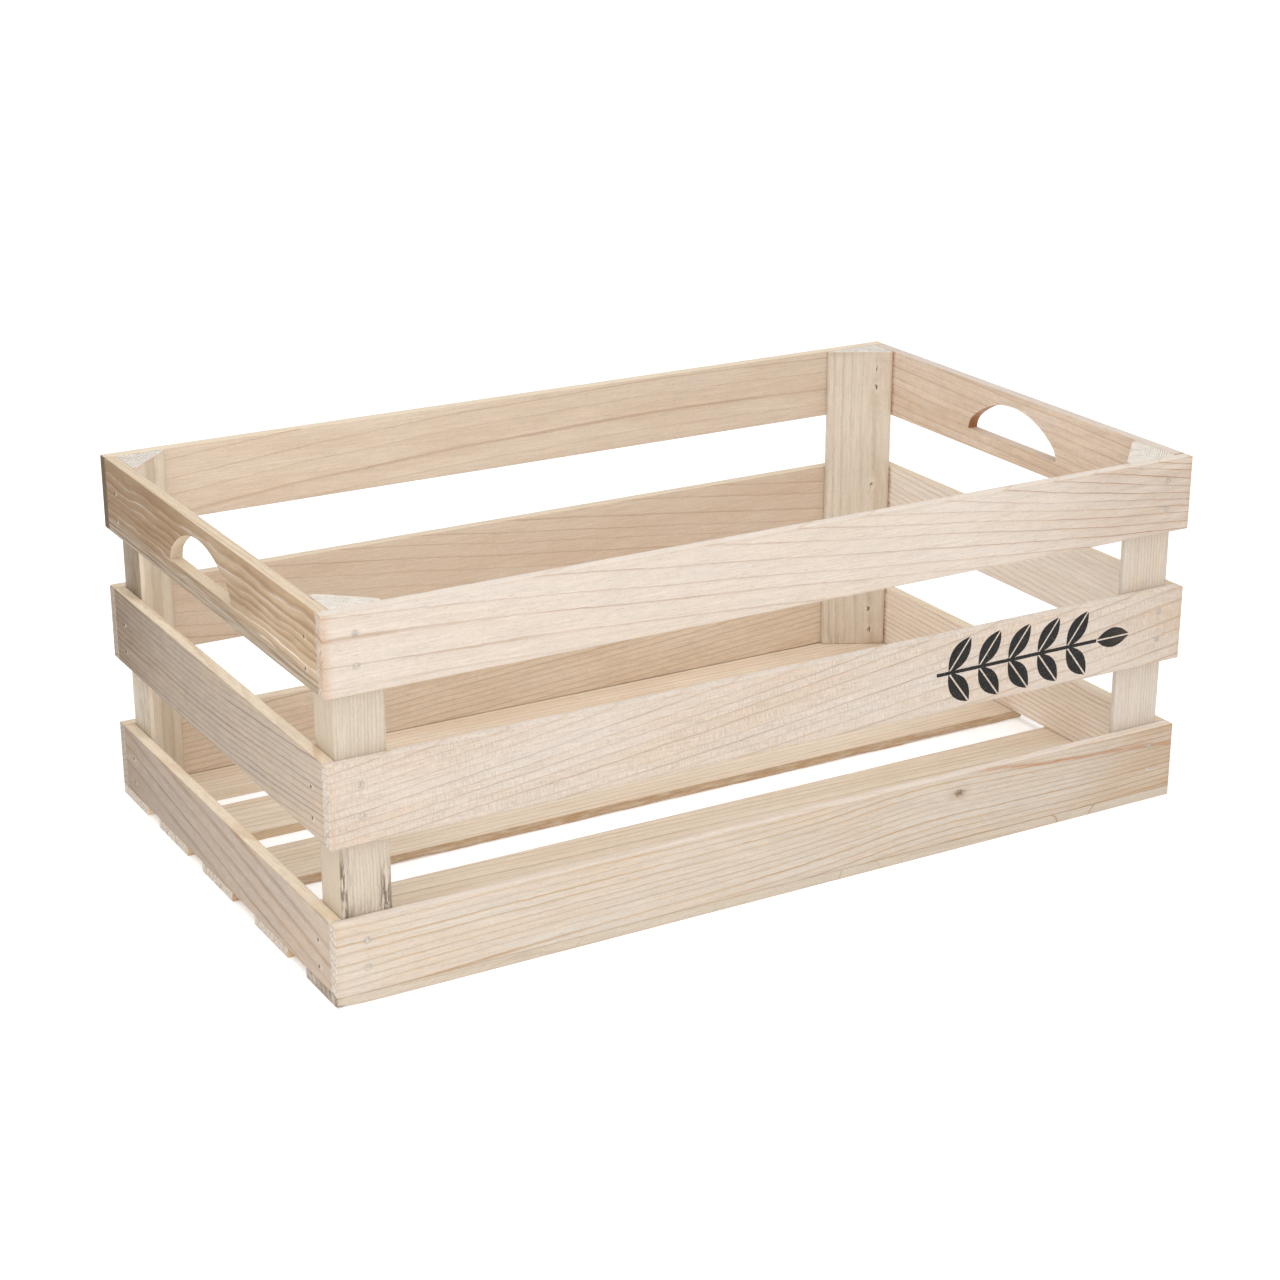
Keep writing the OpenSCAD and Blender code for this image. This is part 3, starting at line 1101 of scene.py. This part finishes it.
LOOKS = {
    "front_slat_top": Look(
        1, pitch=8.4, fan=-0.46, slope=-0.1, sway=0.14, heart=(-90, 25), line=0.75, contrast=0.58,
        soft=0.14, fade=0.03, edge_early="#ddd1c4", early="#d0c4b8", late="#a0806a", tint="#cfae88",
        tint_share=0.1,
    ),
    "front_slat_middle": Look(
        2, pitch=6.3, fan=0.3, slope=0.12, bow=0.8, heart=(-90, -25), line=0.75, contrast=0.64,
        soft=0.14, fade=0.03, chatter=1.2, edge_early="#ddd1c4", early="#cdc1b5", late="#9c8069",
    ),
    "front_slat_bottom": Look(
        3, pitch=4.1, fan=-0.26, slope=0.02, hump=(112, 6, 75), heart=(-80, 30), contrast=0.68,
        fade=-0.04, edge_early="#ddd1c4", early="#c8bdb0", late="#a38052", tint="#c39f76",
        tight=(0,),
    ),
    "back_slat_top": Look(
        4, pitch=12, slope=0.03, bow=-1.34, line=0.7, soft=0.06, contrast=0.58, mottle=0.6,
        fade=-0.065, early="#e1d1bf", late="#a27350", end_early="#6f5a44", end_late="#42342a",
    ),
    "back_slat_middle": Look(
        5, pitch=8.5, slope=-0.12, heart=(90, 30), line=0.8, soft=0.08, contrast=0.5, mottle=0.7,
        fade=-0.04, early="#dac8b5", late="#9f7852", end_early="#b0a08f", end_late="#7b6a58",
    ),
    "back_slat_bottom": Look(
        6, pitch=4, slope=0.073, bow=0.3, heart=(90, 30), contrast=0.5, mottle=1.8, early="#e7d7c4",
        late="#b08f6c", end_early="#bbac9c", end_late="#8a7967",
    ),
    "left_slat_top": Look(
        7, pitch=3.9, fan=0.1, heart=(31, 24), wave=2.4, wave_length=62, line=0.75, late_share=0.6,
        soft=0.06, contrast=1.05, tint="#7d5a31", tint_share=0.34, fade=0.28, end_tint=0.1,
        mottle=1.6, early="#b9a386", late="#ede4d5", edge_early="#d5c3aa", edge_late="#b7946d",
    ),
    "left_slat_middle": Look(
        8, pitch=3.8, slope=0.04, bow=2.0, line=1.1, contrast=0.75, fade=0.24, mottle=3.0,
        early="#ac9e8f", late="#77604b",
    ),
    "left_slat_bottom": Look(
        9, pitch=11.5, slope=-0.107, wave=1.4, line=2.6, contrast=0.8, fade=0.15, mottle=3.0,
        soft=0.35, early="#b3a598", late="#816855",
    ),
    # The right end's slats are painted paler than plain wood: painted light that stands in for light
    # on their inner faces
    "right_slat_top": Look(
        10, pitch=6, slope=-0.03, heart=(90, 30), contrast=0.5, mottle=2.4, tint_share=0.3,
        early="#e8d7c6", late="#b98965", edge_early="#d3c6ba", end_early="#a9764a",
        end_late="#8a5a34",
    ),
    "right_slat_middle": Look(
        11, pitch=4, slope=-0.07, heart=(90, 30), contrast=0.4, tint_share=0.08, early="#f3eadf",
        late="#c39f7b",
    ),
    "right_slat_bottom": Look(
        12, pitch=3.5, slope=-0.03, contrast=0.6, tint_share=0.08, early="#f5e9db", late="#c2915e",
    ),
    "floor_board_front": Look(
        13, pitch=6, slope=0.02, contrast=0.5, knocked=4.0, tight=(3,), early="#d9ccbb",
        late="#9f815f", edge_early="#c4b7a6", edge_late="#a28668",
    ),
    "floor_board_front_inner": Look(
        14, pitch=6, slope=-0.03, heart=(-60, 20), edge_early="#cfb798", edge_late="#9c7650",
    ),
    "floor_board_centre": Look(15, pitch=5, slope=0.02, heart=(70, 20), wane=2.4, early="#e0d2bf"),
    "floor_board_back_inner": Look(
        16, slope=-0.02, heart=(60, -20), edge_early="#cfb798", edge_late="#9c7650",
    ),
    "floor_board_back": Look(17, pitch=5, heart=(-70, 20)),
    "post_front_left": Look(
        18, pitch=1.3, line=0.5, heart=(60, 60), contrast=0.4, tint_share=0.05, mottle=0.6,
        early="#c7bbab", late="#9a876c", edge_early="#ccbca6", edge_late="#9a8262",
        end_early="#f1e9de", end_late="#b3a595",
    ),
    "post_front_right": Look(
        19, pitch=1.5, line=0.6, heart=(-60, 60), contrast=0.4, early="#cfc5b9", late="#a08c78",
        edge_early="#d0c6ba", edge_late="#a08c78", end_early="#f1e9de", end_late="#b3a595",
    ),
    "post_back_left": Look(
        20, pitch=2.4, line=0.8, heart=(-60, 60), contrast=0.5, fade=0.1, early="#e6dac8",
        late="#a58c69", edge_early="#ded2c0", edge_late="#a58c69", end_early="#f1e9de",
        end_late="#85786b",
    ),
    "post_back_right": Look(
        21, pitch=2.3, line=0.6, heart=(60, 60), contrast=0.32, tint_share=0.08, early="#ded2c2",
        late="#ad8f6c", edge_early="#ded2c2", edge_late="#ad8f6c", end_early="#f1e9de",
        end_late="#8f857a",
    ),
}

# The dark orange seam where the right end's slats meet the back post: partly the wood's own
# tint, partly painted shade in the joint
SEAM_TINT_AND_SHADE = stain(-139, -143, "#a5713f", 0.8, inner_only=True)

# What only some boards have
EXTRAS = {
    "front_slat_top": [
        stain(120, 305, "#9a7552", 0.42, in_rings=1.8),
        stain(-292, -304, "#b98a58", 0.7),
    ],
    "front_slat_middle": [sprig_print(), stain(230, 310, "#b59a7c", 0.4)],
    "front_slat_bottom": [knot(127, 10), stain(190, 310, "#a98660", 0.6)],
    "back_slat_top": [stain(-292, -300, "#6d5236", 0.9)],
    "left_slat_top": [
        browned("#855a2c", 0.66),
        stain(40, -60, "#8a6233", 0.44, in_rings=-0.4),
        weathered(-9, 12, 0.7),
        cut_wood("#ddcbb1", "#ddcbb1"),
    ],
    "left_slat_middle": [stain(-60, -175, "#75593b", 0.7)],
    "left_slat_bottom": [stain(-90, -180, "#83694e", 0.4)],
    "right_slat_top": [cut_wood("#a66f43", "#d9c6b0"), SEAM_TINT_AND_SHADE],
    "right_slat_middle": [SEAM_TINT_AND_SHADE],
    "right_slat_bottom": [SEAM_TINT_AND_SHADE],
    "floor_board_front": [edge_lines(85, 1.2, "#a27e5a"), stain(-293, -299, "#6b5440", 0.7)],
    "floor_board_centre": [bark_edge("#aa845a", 0.8)],
    "post_front_left": [
        dark_streaks("front", -106, -30, 12, 7, 0.85),
        dark_streaks("front", -106, -15, -14.5, 8, 0.8),
        dark_streaks("front", -106, -50, 0, 26, 0.5, ground=0.12),
    ],
    "post_back_left": [
        dark_streaks("side", 0, 115, -6, 60, 0.85, ground=0.78, tint="#64491f"),
        dark_streaks("side", -90, 25, -6, 40, 0.45, ground=0.45, tint="#64491f"),
    ],
    "post_back_right": [
        tip_marks((101, 10), (87, 10), (13, 9), (-85, 9), (-102, 10)),
        dark_streaks("front", -122, -96, -14, 12, 0.6),
    ],
}


# ---- The crate ----


def holds(piece, nail):
    """Whether a nail's head is inside the outline of a piece's face."""
    u, v, _ = piece.local(nail.head)
    return abs(u) < piece.half[0] and abs(v) < piece.half[1]


def build_board(piece, slot, nails, end_gap=INSET, hole_shift=None):
    """Replaces one CAD board, with the craters of the nails whose heads are in its face."""
    look = LOOKS[piece.node]
    made = new_solid("visual_" + piece.node, board_mesh(piece, look, end_gap))
    if hole_shift is not None:
        cut_hand_hole(made, piece, hole_shift, look.seed)
    own = [nail for nail in nails if holds(piece, nail)]
    extras = list(EXTRAS.get(piece.node, []))
    if own:
        cut_craters(made, own, look.seed)
        marks = pin_holes if own[0].pinned else nail_marks
        extras.append(marks([piece.local(nail.head)[:2] for nail in own]))
    put_in_place(made, Wood(piece, look).build(extras), slot, piece.node)


def build_sides(nails):
    """The front and back slats, with the nails through them."""
    for side in SIDES:
        for tier in TIERS:
            piece = Piece(f"{side}_slat_{tier}", ALONG_X)
            build_board(piece, "side_wood", nails["nails_" + side])


def build_ends(nails):
    """The end slats, the top ones with hand holes."""
    for end in ENDS:
        for tier in TIERS:
            piece = Piece(f"{end}_slat_{tier}", ALONG_Y, sign=-1)
            shift = HOLE_SHIFT[end] if tier == "top" else None
            build_board(piece, "end_wood", nails["nails_" + end], END_SLAT_GAP, shift)


def build_floor(nails):
    """The floor boards."""
    for board in FLOOR_BOARDS:
        build_board(Piece("floor_board_" + board, LYING), "floor_wood", nails["nails_floor"])


def build_posts():
    """The four corner posts."""
    for side_name, side in SIDES.items():
        for end_name, end in ENDS.items():
            piece = Piece(f"post_{side_name}_{end_name}", UPRIGHT)
            look = LOOKS[piece.node]
            mesh = post_mesh(piece, end, side, look.seed * SHAPE_SEED)
            material = Wood(piece, look).build(EXTRAS.get(piece.node, []))
            put_in_place(new_solid("visual_" + piece.node, mesh), material, "post_wood", piece.node)


def build_nails(nails):
    """Each group of nails as one piece."""
    steel = nail_steel()
    for node, group in nails.items():
        mesh = bmesh.new()
        for i, nail in enumerate(group):
            nail_mesh(mesh, nail, seed=i)
        put_in_place(new_solid("visual_" + node, mesh), steel, "nail_steel", node)


# ---- Camera, light and floor ----

# The photo's camera, fitted to the crate's corners; azimuth 0 would be straight in front
CAMERA_AZIMUTH = math.radians(-29.98)
CAMERA_ELEVATION = math.radians(20.34)
CAMERA_LENS = 73.86
CAMERA_SENSOR = 36.0
# Distance and aim as shares of the crate's length
CAMERA_DISTANCE = 2.8456
AIM_HEIGHT = 0.2
AIM_RIGHT = -0.0064
AIM_UP = -0.01767

# Brightness of the white studio round the crate, and of its lit floor
WORLD_STRENGTH = 0.62
FLOOR_GLOW = 0.18
FLOOR_RADIUS = 40.0
WHITE = (1.0, 1.0, 1.0, 1.0)


def direction(azimuth, elevation):
    """Unit vector from the crate towards a place round it; azimuth 0 is in front of it."""
    flat = math.cos(elevation)
    return Vector((math.sin(azimuth) * flat, -math.cos(azimuth) * flat, math.sin(elevation)))


def add_camera():
    """The camera, at the photo's angle."""
    length = cad_high.x - cad_low.x
    back = direction(CAMERA_AZIMUTH, CAMERA_ELEVATION)
    right = Vector((math.cos(CAMERA_AZIMUTH), math.sin(CAMERA_AZIMUTH), 0))
    up = back.cross(right)
    base = Vector(((cad_low.x + cad_high.x) / 2, (cad_low.y + cad_high.y) / 2, cad_low.z))
    aim = base + length * (Vector((0, 0, AIM_HEIGHT)) + AIM_RIGHT * right + AIM_UP * up)
    data = bpy.data.cameras.new("camera")
    data.lens = CAMERA_LENS
    data.sensor_width = CAMERA_SENSOR
    camera = bpy.data.objects.new("camera", data)
    camera.matrix_world = Matrix.Translation(aim + back * length * CAMERA_DISTANCE) @ Matrix(
        (right, up, back)
    ).transposed().to_4x4()
    bpy.context.scene.collection.objects.link(camera)
    bpy.context.scene.camera = camera


def add_lamp(name, kind, azimuth, elevation, distance, **settings):
    """A lamp that shines on the crate's middle from a direction in degrees."""
    data = bpy.data.lights.new(name, kind)
    for key, value in settings.items():
        setattr(data, key, value)
    lamp = bpy.data.objects.new(name, data)
    towards = direction(math.radians(azimuth), math.radians(elevation))
    lamp.location = (cad_low + cad_high) / 2 + towards * distance
    lamp.rotation_mode = "QUATERNION"
    lamp.rotation_quaternion = towards.to_track_quat("Z", "Y")
    bpy.context.scene.collection.objects.link(lamp)


def add_light():
    """A broad sun overhead, a soft key lamp in front at the left, and a white world."""
    add_lamp("overhead", "SUN", -15, 76, distance=3.0, energy=1.5, angle=math.radians(60))
    add_lamp("key", "AREA", -33, 26, distance=1.45, energy=5.5, size=0.7)
    world = bpy.data.worlds.new("studio")
    bpy.context.scene.world = world
    world.use_nodes = True
    background = world.node_tree.nodes["Background"]
    background.inputs["Color"].default_value = WHITE
    background.inputs["Strength"].default_value = WORLD_STRENGTH


def add_stage():
    """A large white floor that glows a little, so that it stays white round the crate."""
    mesh = bmesh.new()
    bmesh.ops.create_circle(mesh, cap_ends=True, radius=FLOOR_RADIUS, segments=64)
    floor = new_object("studio_floor", mesh)
    floor.location.z = cad_low.z
    material = bpy.data.materials.new("studio_floor")
    material.use_nodes = True
    shader = material.node_tree.nodes["Principled BSDF"]
    shader.inputs["Base Color"].default_value = colour("#f8f8f8")
    shader.inputs["Roughness"].default_value = 0.9
    shader.inputs["Specular IOR Level"].default_value = 0.0
    shader.inputs["Emission Color"].default_value = WHITE
    shader.inputs["Emission Strength"].default_value = FLOOR_GLOW
    floor.data.materials.append(material)


nail_groups = {node: nails_of(node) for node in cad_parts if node.startswith("nails_")}
build_posts()
build_sides(nail_groups)
build_ends(nail_groups)
build_floor(nail_groups)
build_nails(nail_groups)
add_camera()
add_light()
add_stage()
bpy.context.scene.view_settings.view_transform = "Standard"
